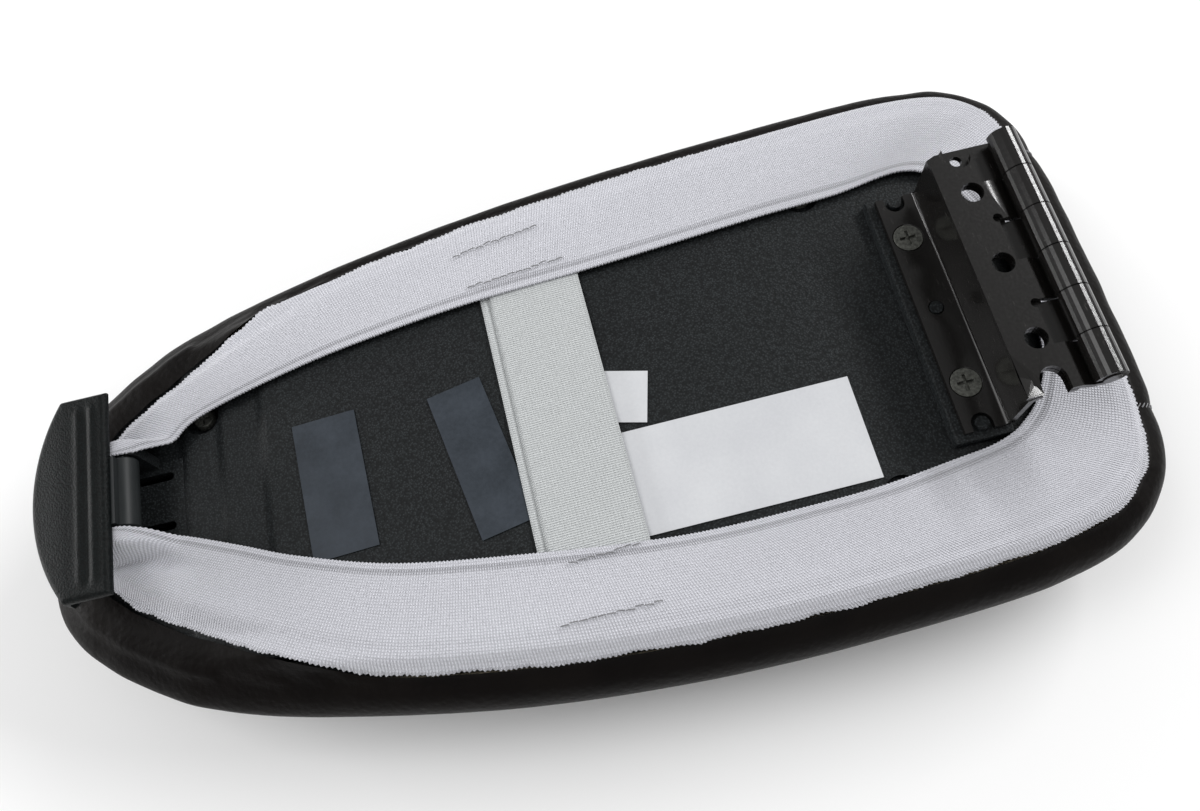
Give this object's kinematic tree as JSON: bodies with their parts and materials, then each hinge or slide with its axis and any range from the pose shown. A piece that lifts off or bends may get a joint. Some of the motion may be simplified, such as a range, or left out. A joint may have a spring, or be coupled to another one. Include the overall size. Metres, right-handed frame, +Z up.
{
  "type": "console armrest lid",
  "caption": "Padded car console armrest lid seen from its working side, with a slip-on leatherette cover on elastic, a folding steel hinge and a sprung finger latch.",
  "frame": {"origin": "under the middle of the pad, on the surface that its padded face lies on", "axes": "+X towards the hinge, -X towards the latch, +Z up out of the working side, +Y along the hinge pin"},
  "size_m": [0.2942, 0.1537, 0.069],
  "materials": {
    "leatherette": "fine grained satin leatherette",
    "foam": "open-cell foam",
    "carrier_plastic": "matte",
    "tray_plastic": "fine spark-eroded texture",
    "latch_plastic": "fine texture, satin hub",
    "elastic_band": "knitted elastic",
    "elastic_strap": "ribbed elastic",
    "label_paper": "blank matt paper",
    "clear_tape": "hazy film",
    "black_steel": "gloss black",
    "oxide_steel": "black oxide",
    "bright_steel": "bright wire"
  },
  "bodies": {
    "lid": {"base_tray": "tray_plastic", "carrier_shell": "carrier_plastic", "foam_pad": "foam", "cover_rear_strip": "leatherette", "cover_side_strip": "leatherette", "cover_top_panel": "leatherette", "elastic_band": "elastic_band", "cross_strap_lower": "elastic_strap", "cross_strap_upper": "elastic_strap", "clear_tape_front": "clear_tape", "clear_tape_middle": "clear_tape", "label_large": "label_paper", "label_small": "label_paper", "hinge_lid_leaf": "black_steel", "hinge_pin": "black_steel", "hinge_screw_far": "oxide_steel", "hinge_screw_near": "oxide_steel", "latch_pivot_pin": "bright_steel", "latch_spring": "bright_steel", "tray_screw_1": "oxide_steel", "tray_screw_2": "oxide_steel", "tray_screw_3": "oxide_steel", "tray_screw_4": "oxide_steel"},
    "console_leaf": {"hinge_console_leaf": "black_steel"},
    "latch": {"latch_handle": "latch_plastic"}
  },
  "joints": [
    {"name": "hinge_swing", "type": "hinge", "parent": "lid", "child": "console_leaf", "pos_m": [0.12, 0, 0.0653], "axis": [0, 1, 0], "range_deg": [0, 110]},
    {"name": "latch_press", "type": "hinge", "parent": "lid", "child": "latch", "pos_m": [-0.1175, 0, 0.0496], "axis": [0, -1, 0], "range_deg": [0, 8], "stiffness_Nm_per_rad": 0.6, "springref_deg": -8.59, "deforming": ["latch_spring"]}
  ]
}
